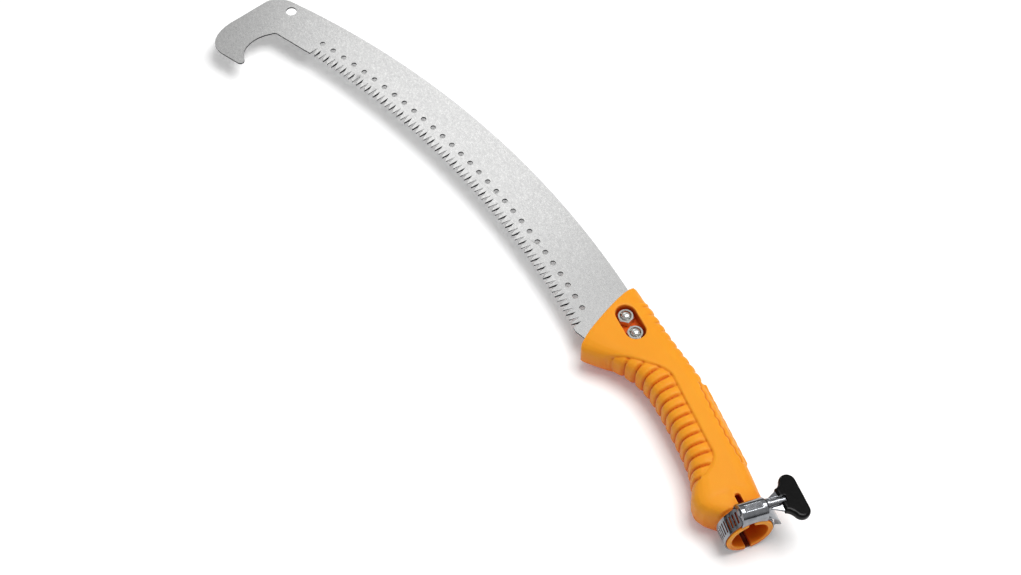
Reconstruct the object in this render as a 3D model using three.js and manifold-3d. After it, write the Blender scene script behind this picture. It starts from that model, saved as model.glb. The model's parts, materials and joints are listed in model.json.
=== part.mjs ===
// Pole saw head: a curved pruning blade with a hooked toe, bolted into a one-piece moulded
// handle whose slotted socket is drawn tight on a pole by a worm-drive band clamp.
//
// Millimetres. While the head is drawn, X runs along the socket axis from the rim towards the
// blade, +Y is the cutting side and Z is square to the blade, which lies in the plane z = 0.
// The finished head is moved so that the middle of its underside is the origin.

import * as THREE from 'three';
import { mergeVertices } from 'three/addons/utils/BufferGeometryUtils.js';
import Module from 'manifold-3d';

const wasm = await Module();
wasm.setup();

const DEGREE = Math.PI / 180;

// ---------------------------------------------------------------- driving dimensions

const FIT_GAP = 0.3; // between pieces that touch or are cut to one another

// Blade
const BLADE_THICKNESS = 1.2;
const HEEL = [177.5, 42]; // where the tooth line starts, just outside the handle
const HEEL_ANGLE = -86.85; // degrees, direction of the heel from the centre of the tooth line
const TOOTH_LINE_RADIUS = 638.7;
const TOOTH_PITCH = 4.035;
const TOOTH_COUNT = 73;
const TOOTH_DEPTH = 5.6;
const TOOTH_SKEW = 0.37; // each gullet runs slantwise through the plate, every other one mirrored
const HEEL_LAND = 3.4; // plain edge before the first gullet
const HEEL_WIDTH = 45.6; // tooth tips to back edge, at the heel
const TOE_WIDTH = 32; // the same at the toe
const BACK_BULGE = 1.35; // how far the back edge swells beyond a straight taper
const RELIEF_HOLE_DIAMETER = 3.8;
const RELIEF_HOLE_PITCH = 10;
const RELIEF_HOLE_COUNT = 30;
const RELIEF_HOLE_INSET = 12; // from the tooth tips
const RELIEF_HOLE_START = 13; // from the heel
const HANG_HOLE_DIAMETER = 7.8;
const HANG_HOLE_PLACE = [37.2, -20.9]; // from the toe: along the tooth line, then square to it

// Socket and handle
const SOCKET_BORE = 24;
const SOCKET_WALL = 3.5;
const SOCKET_DEPTH = 58;
const SPLIT_WIDTH = 3.6;
const SPLIT_BEYOND_NECK = 7.8; // how far each split runs on past the neck
const FRONT_HALF_THICKNESS = 12.8;
const GRIP_SLIMMING = 1.1; // how much nearer the middle plane the grip's faces are than the neck's
const RIB_PITCH = 7.15;
const RIB_COUNT = 15;
const RIB_START = 43.5;
const RIB_GROOVE_WIDTH = 2.4;
const RIB_GROOVE_DEPTH = 1.6;
const GRIP_PANEL_DEPTH = 0.8;
const SPINE_PAD = { start: 43, end: 105.5, width: 14, beyondNeck: 2.5 };
const NOTCH_RADIUS = 1.8;
const NOTCH_DEPTH = 1;
const NOTCH_COUNT = 10;

// Bolts and nuts (M6)
const BOLT_PLACES = [[155.9, 8.9], [169.8, 9.7]];
const BOLT_DIAMETER = 6;
const HEX_ACROSS_FLATS = 10;
const NUT_HEIGHT = 5;
const BOLT_HEAD_HEIGHT = 4;
const BOLT_OVERHANG = 1.7; // domed end beyond the nut
const POCKET_CLEARANCE = 1.03; // round the corners of the nuts and bolt heads
const POCKET_FLOOR = 4.3; // height of both pocket floors from the middle plane

// Band clamp
const RIM_SETBACK = 1.2; // from the rim to the band
const NECK_CLEARANCE = 0.9; // from the clamp housing to the shoulder of the handle
const CLAMP_TURN = 8; // degrees, where the clamp is turned to round the socket
const BAND_WIDTH = 12;
const BAND_THICKNESS = 0.7;
const BAND_SLOT_PITCH = 2.5;
const BAND_SLOT_COUNT = 22;
const BAND_SLOT = { length: 7.6, width: 1.1, slant: 6 };
const TAIL_SWEEP = 80; // degrees of band beyond the housing
const TAIL_LIFT = 7.2; // how far the free tail springs off the band below it
const TAIL_POINT = 24; // degrees of the tail that taper to its point
const HOUSING_LENGTH = 17.5;
const HOUSING_WALL = 0.8;
const WORM_RADIUS = 2.5;
const WORM_CORE_RADIUS = 1.9;
const COLLAR_RADIUS = 4;
const SHANK_RADIUS = 3;
const KEY_THICKNESS = 1.6;
const KEY_HALF_WIDTH = 7.3;
const TURN_START = 18.6; // from the middle of the clamp to the neck of the thumb turn
const TURN_LENGTH = 15.3;
const TURN_HALF_WIDTH = 15.8;
const TURN_NECK_HALF_WIDTH = 8.25;
const TURN_END_RADIUS = 5.5;
const TURN_THICKNESS = 5.4;
const TURN_BEVEL = 1.5;

// ---------------------------------------------------------------- sizes that follow from them

const SOCKET_RADIUS = SOCKET_BORE / 2;
const NECK_RADIUS = SOCKET_RADIUS + SOCKET_WALL;
const TOOTH_CENTRE = [
  HEEL[0] - TOOTH_LINE_RADIUS * Math.cos(HEEL_ANGLE * DEGREE),
  HEEL[1] - TOOTH_LINE_RADIUS * Math.sin(HEEL_ANGLE * DEGREE),
];
const TOOTH_LINE_LENGTH = HEEL_LAND + TOOTH_COUNT * TOOTH_PITCH;
const BAND_RADIUS = NECK_RADIUS + FIT_GAP + BAND_THICKNESS / 2; // middle of the lower layer
const UPPER_BAND_RADIUS = BAND_RADIUS + BAND_THICKNESS + FIT_GAP;
const SCREW_HEIGHT = UPPER_BAND_RADIUS + BAND_THICKNESS / 2 + FIT_GAP + WORM_RADIUS;
const HOUSING_INNER_HALF_WIDTH = BAND_WIDTH / 2 + FIT_GAP;
const HOUSING_OUTER_HALF_WIDTH = HOUSING_INNER_HALF_WIDTH + HOUSING_WALL;
const HOUSING_SHOULDER = SCREW_HEIGHT + WORM_RADIUS + FIT_GAP - HOUSING_INNER_HALF_WIDTH;
const CLAMP_PLACE = RIM_SETBACK + BAND_WIDTH / 2; // middle of the band, from the rim
const NECK_LENGTH = CLAMP_PLACE + HOUSING_OUTER_HALF_WIDTH + NECK_CLEARANCE;
const SPLIT_LENGTH = NECK_LENGTH + SPLIT_BEYOND_NECK;
const HEX_CORNER_RADIUS = HEX_ACROSS_FLATS / 2 / Math.cos(30 * DEGREE);
const POCKET_HALF_WIDTH = HEX_CORNER_RADIUS + POCKET_CLEARANCE;

// ---------------------------------------------------------------- shape helpers

function solid(geometry) {
  const bare = geometry.clone();
  bare.deleteAttribute('normal');
  bare.deleteAttribute('uv');
  const merged = mergeVertices(bare, 1e-4);
  return new wasm.Manifold(new wasm.Mesh({
    numProp: 3,
    vertProperties: new Float32Array(merged.attributes.position.array),
    triVerts: new Uint32Array(merged.index.array),
  }));
}

function surface(manifold) {
  const mesh = manifold.getMesh();
  const geometry = new THREE.BufferGeometry();
  geometry.setAttribute('position', new THREE.BufferAttribute(mesh.vertProperties, 3));
  geometry.setIndex(new THREE.BufferAttribute(mesh.triVerts, 1));
  const faceted = geometry.toNonIndexed();
  faceted.computeVertexNormals();
  return faceted;
}

function outline(points) {
  return new THREE.Shape(points.map(([x, y]) => new THREE.Vector2(x, y)));
}

// An outline in X and Y, raised from one height to another.
function prism(shape, low, high, curveSegments = 12) {
  const options = { depth: high - low, bevelEnabled: false, curveSegments };
  return new THREE.ExtrudeGeometry(shape, options).translate(0, 0, low);
}

function postAlongX(radius, from, to, sides = 48) {
  const post = new THREE.CylinderGeometry(radius, radius, to - from, sides);
  return post.rotateZ(-Math.PI / 2).translate((from + to) / 2, 0, 0);
}

function postAlongZ(radius, x, y, low, high, sides = 20) {
  const post = new THREE.CylinderGeometry(radius, radius, high - low, sides);
  return post.rotateX(Math.PI / 2).translate(x, y, (low + high) / 2);
}

// Moves every side of a convex anticlockwise outline outwards by the same gap.
function grown(points, gap) {
  const sides = points.map((point, index) => {
    const next = points[(index + 1) % points.length];
    const length = Math.hypot(next[0] - point[0], next[1] - point[1]);
    const normal = [(next[1] - point[1]) / length, (point[0] - next[0]) / length];
    return { normal, offset: normal[0] * point[0] + normal[1] * point[1] + gap };
  });
  return sides.map((side, index) => {
    const before = sides[(index + sides.length - 1) % sides.length];
    const cross = before.normal[0] * side.normal[1] - before.normal[1] * side.normal[0];
    return [
      (before.offset * side.normal[1] - side.offset * before.normal[1]) / cross,
      (side.offset * before.normal[0] - before.offset * side.normal[0]) / cross,
    ];
  });
}

// A smooth height through a few [x, height] points.
function heightThrough(points) {
  const slopeAt = (index) => {
    const before = points[Math.max(index - 1, 0)];
    const after = points[Math.min(index + 1, points.length - 1)];
    return (after[1] - before[1]) / (after[0] - before[0]);
  };
  return (x) => {
    let index = points.findIndex((point) => point[0] > x) - 1;
    if (index < 0) index = x < points[0][0] ? 0 : points.length - 2;
    const [x0, y0] = points[index];
    const [x1, y1] = points[index + 1];
    const t = Math.min(Math.max((x - x0) / (x1 - x0), 0), 1);
    const span = x1 - x0;
    return y0 * (1 + 2 * t) * (1 - t) ** 2 + y1 * (3 - 2 * t) * t ** 2
      + slopeAt(index) * span * t * (1 - t) ** 2 - slopeAt(index + 1) * span * t ** 2 * (1 - t);
  };
}

// ---------------------------------------------------------------- blade

// A point given by its distance along the tooth line and its depth in from the tooth tips.
function onToothLine(distance, depth) {
  const angle = HEEL_ANGLE * DEGREE + distance / TOOTH_LINE_RADIUS;
  const radius = TOOTH_LINE_RADIUS + depth;
  return [TOOTH_CENTRE[0] + radius * Math.cos(angle), TOOTH_CENTRE[1] + radius * Math.sin(angle)];
}

function bladeWidthAt(distance) {
  const t = distance / TOOTH_LINE_LENGTH;
  return HEEL_WIDTH + (TOE_WIDTH - HEEL_WIDTH) * t + 4 * BACK_BULGE * t * (1 - t);
}

// A point given from the toe: along the tooth line there, then square to it towards the cut.
function fromToe(along, up) {
  const angle = HEEL_ANGLE * DEGREE + TOOTH_LINE_LENGTH / TOOTH_LINE_RADIUS;
  const [x, y] = onToothLine(TOOTH_LINE_LENGTH, 0);
  return [
    x - along * Math.sin(angle) - up * Math.cos(angle),
    y + along * Math.cos(angle) - up * Math.sin(angle),
  ];
}

// The part of the blade inside the handle, anticlockwise from its back corner. Its back side
// lies just outside the back edge of the blade.
const TANG_BACK_DISTANCE = -28;
const TANG_MARGIN = 0.5;
const tangBack = (distance) => onToothLine(distance, bladeWidthAt(distance) + TANG_MARGIN);
const TANG = [tangBack(TANG_BACK_DISTANCE - 3), tangBack(24), [205, 47], [176, 43.2], [168, 38],
  [149, 23]];

function bladeOutline() {
  const tipLead = 0.7;
  const shoulder = { along: 2.7, depth: 1.5 };

  const back = [];
  const backSteps = 26;
  const noseDistance = TOOTH_LINE_LENGTH + 42;
  for (let step = 0; step <= backSteps; step += 1) {
    const distance = TANG_BACK_DISTANCE + ((noseDistance - TANG_BACK_DISTANCE) * step) / backSteps;
    back.push(onToothLine(distance, bladeWidthAt(distance)));
  }

  const hook = new THREE.Path();
  hook.moveTo(48.5, -26.2);
  hook.quadraticCurveTo(56.6, -22, 57.7, -15);
  hook.lineTo(63.7, 14.3);
  hook.bezierCurveTo(66, 26, 61.5, 36.5, 54.5, 37.9);
  hook.quadraticCurveTo(52, 38.9, 49, 38.7);
  hook.lineTo(34.4, 38.2);
  hook.bezierCurveTo(31.5, 37.6, 31, 34.8, 33, 33);
  hook.lineTo(36, 30.3);
  hook.bezierCurveTo(42.3, 25, 41, 11.5, 34.2, 3.6);
  hook.quadraticCurveTo(33, 0.9, 30.4, 0.9);
  const hookPoints = hook.getPoints(7).map((point) => fromToe(point.x, point.y));

  const teeth = [];
  for (let gullet = TOOTH_COUNT; gullet >= 0; gullet -= 1) {
    const start = HEEL_LAND + gullet * TOOTH_PITCH;
    teeth.push(onToothLine(start, TOOTH_DEPTH));
    if (gullet > 0) {
      teeth.push(onToothLine(start - TOOTH_PITCH + shoulder.along, shoulder.depth));
      teeth.push(onToothLine(start - TOOTH_PITCH + tipLead, 0));
    }
  }
  return [...TANG.slice(4), ...back, ...hookPoints, fromToe(0.9, 0), ...teeth,
    onToothLine(1.2, 0), onToothLine(-1.8, 0.2)];
}

// Slants the gullets through the plate: neighbours lean opposite ways.
function skewTeeth(geometry) {
  const position = geometry.attributes.position;
  for (let index = 0; index < position.count; index += 1) {
    const x = position.getX(index) - TOOTH_CENTRE[0];
    const y = position.getY(index) - TOOTH_CENTRE[1];
    const depth = Math.hypot(x, y) - TOOTH_LINE_RADIUS;
    const along = (Math.atan2(y, x) - HEEL_ANGLE * DEGREE) * TOOTH_LINE_RADIUS - HEEL_LAND;
    const gullet = Math.round(along / TOOTH_PITCH);
    const isGullet = Math.abs(depth - TOOTH_DEPTH) < 0.05
      && Math.abs(along - gullet * TOOTH_PITCH) < 0.05 && gullet >= 0 && gullet <= TOOTH_COUNT;
    if (isGullet) {
      const side = Math.sign(position.getZ(index)) * (gullet % 2 === 0 ? 1 : -1);
      const angle = Math.atan2(y, x);
      position.setX(index, position.getX(index) - side * TOOTH_SKEW * Math.sin(angle));
      position.setY(index, position.getY(index) + side * TOOTH_SKEW * Math.cos(angle));
    }
  }
  return geometry;
}

function bladeGeometry() {
  const half = BLADE_THICKNESS / 2;
  const plate = skewTeeth(prism(outline(bladeOutline()), -half, half));
  const cutLow = -half - 1;
  const cutHigh = half + 1;
  let blade = solid(plate);
  const holeRow = TOOTH_LINE_RADIUS + RELIEF_HOLE_INSET;
  for (let hole = 0; hole < RELIEF_HOLE_COUNT; hole += 1) {
    const along = ((RELIEF_HOLE_START + hole * RELIEF_HOLE_PITCH) * TOOTH_LINE_RADIUS) / holeRow;
    const [x, y] = onToothLine(along, RELIEF_HOLE_INSET);
    blade = blade.subtract(solid(postAlongZ(RELIEF_HOLE_DIAMETER / 2, x, y, cutLow, cutHigh, 12)));
  }
  const [hangX, hangY] = fromToe(...HANG_HOLE_PLACE);
  blade = blade.subtract(
    solid(postAlongZ(HANG_HOLE_DIAMETER / 2, hangX, hangY, cutLow, cutHigh, 20)));
  for (const [x, y] of BOLT_PLACES) {
    const radius = BOLT_DIAMETER / 2 + FIT_GAP;
    blade = blade.subtract(solid(postAlongZ(radius, x, y, cutLow, cutHigh)));
  }
  return surface(blade);
}

// ---------------------------------------------------------------- handle

// Edges and thickness against X; along the socket they follow the neck.
const fingerEdge = heightThrough([
  [NECK_LENGTH, NECK_RADIUS], [NECK_LENGTH + 6.8, NECK_RADIUS + 7.7], [29.5, NECK_RADIUS + 10.1],
  [40, NECK_RADIUS + 5.9], [56, NECK_RADIUS + 1.3], [90, 15.9], [115, 17.6], [130, 22],
  [143, 31], [152, 40.5], [160, 48], [200, 70],
]);
const backEdge = heightThrough([
  [NECK_LENGTH, -NECK_RADIUS], [40, -NECK_RADIUS - 1.5], [105, -16.5], [143, -11.5],
  [175, -8], [200, -5.5],
]);
const halfThickness = heightThrough([
  [NECK_LENGTH, NECK_RADIUS - 0.4], [60, NECK_RADIUS - GRIP_SLIMMING],
  [140, FRONT_HALF_THICKNESS], [200, FRONT_HALF_THICKNESS],
]);
const GRIP_END = 196;
const GRIP_SQUARENESS = 3.4; // 2 is an ellipse, higher is nearer a rectangle

// The grip as a round bar reshaped, ring by ring, to the edges and thickness of the handle.
function gripGeometry(inset) {
  const rings = 32;
  const bar = new THREE.CylinderGeometry(1, 1, 1, 24, rings).rotateZ(-Math.PI / 2);
  const position = bar.attributes.position;
  const squared = (value) => Math.sign(value) * Math.abs(value) ** (2 / GRIP_SQUARENESS);
  for (let index = 0; index < position.count; index += 1) {
    const along = position.getX(index) + 0.5;
    const x = NECK_LENGTH + along * (GRIP_END - NECK_LENGTH);
    const high = fingerEdge(x) - inset;
    const low = backEdge(x) + inset;
    const y = squared(position.getY(index));
    const z = squared(position.getZ(index));
    position.setXYZ(index, x, (high + low) / 2 + (y * (high - low)) / 2,
      z * (halfThickness(x) - inset));
  }
  return bar;
}

// Everything behind the sloping front edge that the blade comes out of.
function frontTrim() {
  const trim = new THREE.Shape();
  trim.moveTo(NECK_LENGTH - 1, -60);
  trim.lineTo(183, -60);
  trim.lineTo(184.6, -8.2);
  trim.quadraticCurveTo(190.2, -6.2, 188.4, -1.8);
  trim.bezierCurveTo(184, 8, 174, 27, 161.6, 43);
  trim.quadraticCurveTo(159, 47, 155.5, 44);
  trim.lineTo(140, 60);
  trim.lineTo(NECK_LENGTH - 1, 60);
  return solid(prism(trim, -40, 40, 8));
}

// The sunken grip panel, on both faces and round the finger side.
function gripPanel() {
  const panel = new THREE.Shape();
  panel.moveTo(38, 60);
  panel.lineTo(38.6, 21.5);
  panel.quadraticCurveTo(47, 1, 56.5, 0.8);
  panel.lineTo(116, 0.8);
  panel.quadraticCurveTo(122.5, 1.5, 130.5, 11.3);
  panel.quadraticCurveTo(145.5, 26, 150, 43);
  panel.lineTo(146, 60);
  return solid(prism(panel, -40, 40, 6));
}

// One groove between two ribs, square to the finger edge.
function ribGroove(index) {
  const x = RIB_START + index * RIB_PITCH;
  const slope = (fingerEdge(x + 1) - fingerEdge(x - 1)) / 2;
  const groove = new THREE.BoxGeometry(RIB_GROOVE_WIDTH, 60, 80).translate(0, -10, 0);
  return solid(groove.rotateZ(Math.atan(slope) * 0.75).translate(x, fingerEdge(x), 0));
}

function obround(places, radius, low, high) {
  const [[ax, ay], [bx, by]] = places;
  const length = Math.hypot(bx - ax, by - ay);
  const shape = new THREE.Shape();
  shape.absarc(0, 0, radius, Math.PI / 2, (3 * Math.PI) / 2, false);
  shape.absarc(length, 0, radius, -Math.PI / 2, Math.PI / 2, false);
  const slot = prism(shape, low, high, 12);
  return solid(slot.rotateZ(Math.atan2(by - ay, bx - ax)).translate(ax, ay, 0));
}

function handleGeometry() {
  let handle = solid(gripGeometry(0)).intersect(frontTrim());
  const pad = new THREE.BoxGeometry(SPINE_PAD.end - SPINE_PAD.start, 12, SPINE_PAD.width);
  pad.translate((SPINE_PAD.start + SPINE_PAD.end) / 2, 6 - NECK_RADIUS - SPINE_PAD.beyondNeck, 0);
  handle = handle.add(solid(pad));
  handle = handle.add(solid(postAlongX(NECK_RADIUS, 0, NECK_LENGTH + 12)));

  const panel = gripPanel();
  handle = handle.subtract(panel.subtract(solid(gripGeometry(GRIP_PANEL_DEPTH))));
  let grooves = ribGroove(0);
  for (let rib = 1; rib < RIB_COUNT; rib += 1) grooves = grooves.add(ribGroove(rib));
  grooves = grooves.intersect(panel).subtract(solid(gripGeometry(RIB_GROOVE_DEPTH)));
  handle = handle.subtract(grooves);

  for (let notch = 0; notch < NOTCH_COUNT; notch += 1) {
    const x = SPINE_PAD.end + 2 + notch * RIB_PITCH;
    const y = backEdge(x) - NOTCH_RADIUS + NOTCH_DEPTH;
    handle = handle.subtract(solid(postAlongZ(NOTCH_RADIUS, x, y, -40, 40, 14)));
  }

  handle = handle.subtract(solid(postAlongX(SOCKET_RADIUS, -1, SOCKET_DEPTH)));
  const splitEnd = SPLIT_LENGTH - SPLIT_WIDTH / 2;
  handle = handle.subtract(obround([[-5, 0], [splitEnd, 0]], SPLIT_WIDTH / 2, -40, 40));

  const slotHalf = BLADE_THICKNESS / 2 + FIT_GAP;
  handle = handle.subtract(solid(prism(outline(grown(TANG, 0.6)), -slotHalf, slotHalf)));
  handle = handle.subtract(obround(BOLT_PLACES, POCKET_HALF_WIDTH, POCKET_FLOOR, 40));
  handle = handle.subtract(obround(BOLT_PLACES, POCKET_HALF_WIDTH, -40, -POCKET_FLOOR));
  for (const [x, y] of BOLT_PLACES) {
    handle = handle.subtract(solid(postAlongZ(BOLT_DIAMETER / 2 + FIT_GAP, x, y, -40, 40)));
  }
  return surface(handle);
}

// ---------------------------------------------------------------- bolts and nuts

function hexPrism(height) {
  const radius = HEX_CORNER_RADIUS;
  const chamfer = 0.5;
  const profile = [[0, 0], [radius - chamfer, 0], [radius, chamfer], [radius, height - chamfer],
    [radius - chamfer, height], [0, height]];
  const turned = profile.map(([r, h]) => new THREE.Vector2(r, h));
  return new THREE.LatheGeometry(turned, 6).rotateX(Math.PI / 2);
}

function boltGeometry() {
  const radius = BOLT_DIAMETER / 2;
  const headTop = -POCKET_FLOOR - FIT_GAP / 2;
  const end = POCKET_FLOOR + FIT_GAP / 2 + NUT_HEIGHT + BOLT_OVERHANG;
  const dome = 1;
  const length = end - headTop + 1;
  const shank = new THREE.LatheGeometry([[0, 0], [radius, 0], [radius, length - dome],
    [radius * 0.8, length - dome * 0.35], [radius * 0.45, length], [0, length]]
    .map(([r, h]) => new THREE.Vector2(r, h)), 20);
  shank.rotateX(Math.PI / 2).translate(0, 0, headTop - 1);
  const head = hexPrism(BOLT_HEAD_HEIGHT).translate(0, 0, headTop - BOLT_HEAD_HEIGHT);
  return surface(solid(head).add(solid(shank)));
}

function nutGeometry() {
  const bore = postAlongZ(BOLT_DIAMETER / 2 + FIT_GAP, 0, 0, -1, NUT_HEIGHT + 1);
  return surface(solid(hexPrism(NUT_HEIGHT)).subtract(solid(bore)));
}

// ---------------------------------------------------------------- band clamp
// Drawn with its own axes: X along the socket axis from the middle of the band, Z radially
// out through the screw, and the screw pointing along -Y. Angles run from +Z towards -Y.

function clampPoint(angle, radius) {
  return [-radius * Math.sin(angle * DEGREE), radius * Math.cos(angle * DEGREE)];
}

const HOUSING_ANGLE = Math.asin(HOUSING_LENGTH / 2 / UPPER_BAND_RADIUS) / DEGREE;
const BAND_START = -HOUSING_ANGLE + 8;
const BAND_LAP = 360 - HOUSING_ANGLE; // where the band comes back under the housing
const BAND_STEP_ANGLE = 14; // the stretch in which it climbs over its own start
const TAIL_START = 360 + HOUSING_ANGLE;
const TAIL_END = TAIL_START + TAIL_SWEEP;

function bandRadiusAt(angle) {
  const climb = Math.min(Math.max((angle - BAND_LAP + BAND_STEP_ANGLE) / BAND_STEP_ANGLE, 0), 1);
  const spring = Math.max((angle - TAIL_START) / TAIL_SWEEP, 0);
  return BAND_RADIUS + (UPPER_BAND_RADIUS - BAND_RADIUS) * climb + TAIL_LIFT * spring ** 1.4;
}

function bandGeometry() {
  const step = 7.5;
  const count = Math.round((TAIL_END - BAND_START) / step);
  const angles = Array.from({ length: count + 1 },
    (_, index) => BAND_START + ((TAIL_END - BAND_START) * index) / count);
  const outer = angles.map((angle) => clampPoint(angle, bandRadiusAt(angle) + BAND_THICKNESS / 2));
  const inner = angles.map((angle) => clampPoint(angle, bandRadiusAt(angle) - BAND_THICKNESS / 2));
  // drawn in Y and Z, raised along X
  const strip = prism(outline([...outer, ...inner.reverse()]), -BAND_WIDTH / 2, BAND_WIDTH / 2);
  const swap = new THREE.Matrix4().set(0, 0, 1, 0, 1, 0, 0, 0, 0, 1, 0, 0, 0, 0, 0, 1);
  let band = solid(strip.applyMatrix4(swap));

  // the two corners of the tail are cut away to leave its point
  const tip = TAIL_END - TAIL_POINT;
  const [tipY, tipZ] = clampPoint((tip + TAIL_END) / 2, bandRadiusAt((tip + TAIL_END) / 2));
  const pointLength = TAIL_POINT * DEGREE * bandRadiusAt(TAIL_END);
  for (const side of [-1, 1]) {
    const corner = outline([[-pointLength, side * BAND_WIDTH * 0.5],
      [pointLength * 0.55, side * 0.2], [pointLength * 0.55, side * BAND_WIDTH]]);
    const cutter = prism(corner, -6, 6).rotateZ(-Math.PI / 2);
    cutter.rotateX(((tip + TAIL_END) / 2 - 360) * DEGREE).translate(0, tipY, tipZ);
    band = band.subtract(solid(cutter));
  }

  // slots that the worm runs in, from the free end back round the socket
  const { length, width, slant } = BAND_SLOT;
  const pitchAngle = BAND_SLOT_PITCH / UPPER_BAND_RADIUS / DEGREE;
  for (let slot = 0; slot < BAND_SLOT_COUNT; slot += 1) {
    const angle = TAIL_START - 4 - slot * pitchAngle;
    const radius = bandRadiusAt(angle);
    const reach = angle > BAND_LAP - BAND_STEP_ANGLE ? 1.05 : 3;
    const cutter = new THREE.BoxGeometry(length, width, reach).rotateZ(slant * DEGREE);
    cutter.translate(0, 0, radius).rotateX(angle * DEGREE);
    band = band.subtract(solid(cutter));
  }
  return surface(band);
}

// Arch-shaped section in X and height, run along Y.
function arch(halfWidth, from, to) {
  const shape = new THREE.Shape();
  shape.moveTo(-halfWidth, 0);
  shape.lineTo(halfWidth, 0);
  shape.absarc(0, HOUSING_SHOULDER, halfWidth, 0, Math.PI, false);
  const bar = prism(shape, from, to, 20).rotateX(Math.PI / 2);
  return solid(bar);
}

function postAlongScrew(radius, from, to, sides = 20) {
  const post = new THREE.CylinderGeometry(radius, radius, to - from, sides);
  return solid(post.translate(0, -(from + to) / 2, SCREW_HEIGHT));
}

function housingGeometry() {
  const half = HOUSING_LENGTH / 2;
  const endWall = 1;
  let housing = arch(HOUSING_OUTER_HALF_WIDTH, -half, half);
  housing = housing.subtract(arch(HOUSING_INNER_HALF_WIDTH, -half + endWall, half - endWall));
  // below the screw the housing is open end to end for the band
  const openHeight = UPPER_BAND_RADIUS + BAND_THICKNESS / 2 + FIT_GAP;
  const tunnel = new THREE.BoxGeometry(2 * HOUSING_INNER_HALF_WIDTH, 40, openHeight);
  housing = housing.subtract(solid(tunnel.translate(0, 0, openHeight / 2)));
  housing = housing.subtract(solid(postAlongX(NECK_RADIUS + FIT_GAP, -20, 20)));
  housing = housing.subtract(postAlongScrew(WORM_CORE_RADIUS + FIT_GAP, -half - 1, half + 1));
  // shallow panel pressed into the crown
  const press = new THREE.BoxGeometry(4.6, HOUSING_LENGTH - 5.5, 1);
  const crown = HOUSING_SHOULDER + HOUSING_OUTER_HALF_WIDTH;
  housing = housing.subtract(solid(press.translate(0, 0, crown + 0.5 - 0.45)));
  return surface(housing);
}

function wormGeometry() {
  const half = HOUSING_LENGTH / 2;
  const shaftEnd = TURN_START + 3.2;
  let worm = postAlongScrew(WORM_CORE_RADIUS, -half - 0.8, half + 1);
  worm = worm.add(postAlongScrew(COLLAR_RADIUS, half + FIT_GAP, half + 2.3, 24));
  worm = worm.add(postAlongScrew(SHANK_RADIUS, half + 2.2, shaftEnd, 24));
  const threadLength = HOUSING_LENGTH - 4.5;
  const turns = threadLength / BAND_SLOT_PITCH;
  const helix = new (class extends THREE.Curve {
    getPoint(t, target = new THREE.Vector3()) {
      const angle = 2 * Math.PI * turns * t;
      const radius = WORM_CORE_RADIUS + (WORM_RADIUS - WORM_CORE_RADIUS) / 2 - 0.15;
      return target.set(radius * Math.cos(angle), threadLength * (t - 0.5),
        SCREW_HEIGHT + radius * Math.sin(angle));
    }
  })();
  const ridge = (WORM_RADIUS - WORM_CORE_RADIUS) / 2 + 0.12;
  const section = outline([[-ridge, -0.45], [ridge, -0.45], [ridge, 0.45], [-ridge, 0.45]]);
  const thread = new THREE.ExtrudeGeometry(section,
    { steps: Math.round(turns * 12), extrudePath: helix, bevelEnabled: false });
  return surface(worm.add(solid(thread)));
}

// The flat key riveted over the shank: two shoulders outside the thumb turn, joined inside it.
const KEY_START = HOUSING_LENGTH / 2 + 2.3 + FIT_GAP;
const KEY_END = TURN_START + TURN_LENGTH - 4.5;

function keyOutline(gap) {
  const tail = KEY_HALF_WIDTH - 1.5;
  return grown([[-3.6, -KEY_START], [-KEY_HALF_WIDTH, -TURN_START], [-tail, -KEY_END],
    [tail, -KEY_END], [KEY_HALF_WIDTH, -TURN_START], [3.6, -KEY_START]], gap);
}

function keyGeometry() {
  const half = KEY_THICKNESS / 2;
  const plate = prism(outline(keyOutline(0)), SCREW_HEIGHT - half, SCREW_HEIGHT + half);
  const shank = postAlongScrew(SHANK_RADIUS + FIT_GAP, 0, TURN_START + 3.2 + FIT_GAP);
  return surface(solid(plate).subtract(shank));
}

function turnOutline() {
  const end = TURN_START + TURN_LENGTH;
  const centreX = TURN_HALF_WIDTH - TURN_END_RADIUS;
  const centreY = -(end - TURN_END_RADIUS);
  const meet = 67 * DEGREE;
  const shape = new THREE.Shape();
  shape.moveTo(-TURN_NECK_HALF_WIDTH, -TURN_START);
  shape.quadraticCurveTo(-TURN_NECK_HALF_WIDTH - 0.4, -TURN_START - 3,
    -centreX - TURN_END_RADIUS * Math.cos(meet), centreY + TURN_END_RADIUS * Math.sin(meet));
  shape.absarc(-centreX, centreY, TURN_END_RADIUS, Math.PI - meet, 1.5 * Math.PI, false);
  shape.absarc(centreX, centreY, TURN_END_RADIUS, -Math.PI / 2, meet, false);
  shape.quadraticCurveTo(TURN_NECK_HALF_WIDTH + 0.4, -TURN_START - 3,
    TURN_NECK_HALF_WIDTH, -TURN_START);
  return shape;
}

function turnGeometry() {
  const body = new THREE.ExtrudeGeometry(turnOutline(), {
    depth: TURN_THICKNESS - 2 * TURN_BEVEL,
    bevelThickness: TURN_BEVEL,
    bevelSize: TURN_BEVEL,
    bevelOffset: -TURN_BEVEL,
    bevelSegments: 2,
    curveSegments: 7,
  });
  body.translate(0, 0, SCREW_HEIGHT - TURN_THICKNESS / 2 + TURN_BEVEL);
  const half = KEY_THICKNESS / 2 + FIT_GAP;
  const slot = prism(outline(keyOutline(FIT_GAP)), SCREW_HEIGHT - half, SCREW_HEIGHT + half);
  const bore = postAlongScrew(SHANK_RADIUS + FIT_GAP, TURN_START - 5, TURN_START + 3.8, 24);
  return surface(solid(body).subtract(solid(slot)).subtract(bore));
}

// ---------------------------------------------------------------- materials and assembly

function material(color, roughness, metalness) {
  return new THREE.MeshStandardMaterial({ color, roughness, metalness });
}

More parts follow.
